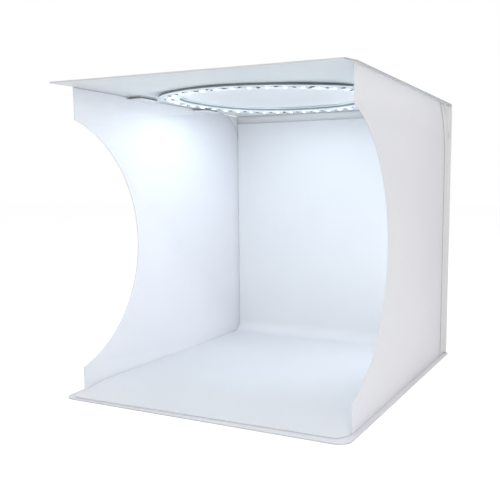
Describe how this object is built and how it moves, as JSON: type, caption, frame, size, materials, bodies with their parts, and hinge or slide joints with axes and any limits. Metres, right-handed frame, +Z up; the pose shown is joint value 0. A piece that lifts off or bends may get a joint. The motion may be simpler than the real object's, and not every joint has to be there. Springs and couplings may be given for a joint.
{
  "type": "light tent cube",
  "caption": "Folding tabletop light tent: a cube of thin white sheets, open in front, with round-cut sides, a ring of lamps under its roof and a curved backdrop.",
  "frame": {"origin": "on the table, under the middle of the base board", "axes": "+Z up, -Y out of the tent's open front, +X to the right as seen from the front"},
  "size_m": [0.239, 0.2792, 0.2501],
  "materials": {
    "white_sheet": "satin translucent white",
    "cover_sheet": "satin translucent white",
    "backdrop_sheet": "smooth satin white",
    "grey_cloth": "woven tape",
    "black_hook": "hook fastener",
    "white_loop": "loop fastener",
    "dark_foam": "matt foam",
    "white_board": "satin solder mask",
    "lamp_white": "glossy lens",
    "inlet_plastic": "moulded satin",
    "plated_steel": "plated",
    "lead_jacket": "soft matt"
  },
  "bodies": {
    "base": {"base_board": "white_sheet", "base_hinge_strip_base_leaf": "grey_cloth", "left_front_low_loop_pad": "white_loop", "left_rear_low_loop_pad": "white_loop", "right_front_low_loop_pad": "white_loop", "right_rear_low_loop_pad": "white_loop"},
    "back": {"back_panel": "white_sheet", "base_hinge_strip_back_leaf": "grey_cloth", "roof_hinge_strip_back_leaf": "grey_cloth", "left_hinge_strip_back_leaf": "grey_cloth", "right_hinge_strip_back_leaf": "grey_cloth", "backdrop_hook_strip": "white_loop"},
    "roof": {"roof_panel": "white_sheet", "roof_hinge_strip_roof_leaf": "grey_cloth", "cover_hinge_strip_roof_leaf": "grey_cloth", "ring_spacer": "dark_foam", "ring_board": "white_board", "lamp_row": "lamp_white", "inlet_housing": "inlet_plastic", "inlet_socket": "plated_steel", "inlet_lead": "lead_jacket", "left_front_high_loop_pad": "white_loop", "left_rear_high_loop_pad": "white_loop", "right_front_high_loop_pad": "white_loop", "right_rear_high_loop_pad": "white_loop"},
    "cover": {"window_cover": "cover_sheet", "cover_hinge_strip_cover_leaf": "grey_cloth"},
    "left_wall_body": {"left_wall": "white_sheet", "left_hinge_strip_wall_leaf": "grey_cloth", "left_front_low_hook_pad": "black_hook", "left_front_high_hook_pad": "black_hook", "left_rear_low_hook_pad": "black_hook", "left_rear_high_hook_pad": "black_hook"},
    "right_wall_body": {"right_wall": "white_sheet", "right_hinge_strip_wall_leaf": "grey_cloth", "right_front_low_hook_pad": "black_hook", "right_front_high_hook_pad": "black_hook", "right_rear_low_hook_pad": "black_hook", "right_rear_high_hook_pad": "black_hook"},
    "backdrop": {"backdrop_sheet": "backdrop_sheet", "backdrop_loop_strip": "white_loop"}
  },
  "joints": [
    {"name": "back_tip", "type": "hinge", "parent": "base", "child": "back", "pos_m": [0, 0.134, 0.0025], "axis": [-1, 0, 0], "range_deg": [0, 90]},
    {"name": "roof_lift", "type": "hinge", "parent": "back", "child": "roof", "pos_m": [0, 0.134, 0.2401], "axis": [-1, 0, 0], "range_deg": [0, 90]},
    {"name": "cover_lift", "type": "hinge", "parent": "roof", "child": "cover", "pos_m": [0, 0.0755, 0.24105], "axis": [-1, 0, 0], "range_deg": [0, 175]},
    {"name": "left_wall_swing", "type": "hinge", "parent": "back", "child": "left_wall_body", "pos_m": [-0.1155, 0.1315, 0.0013], "axis": [0, 0, -1], "range_deg": [0, 90]},
    {"name": "right_wall_swing", "type": "hinge", "parent": "back", "child": "right_wall_body", "pos_m": [0.1155, 0.1315, 0.0013], "axis": [0, 0, 1], "range_deg": [0, 90]},
    {"name": "backdrop_slide", "type": "slide", "parent": "back", "child": "backdrop", "axis": [0, -1, 0], "range_m": [0, 0.27]}
  ]
}
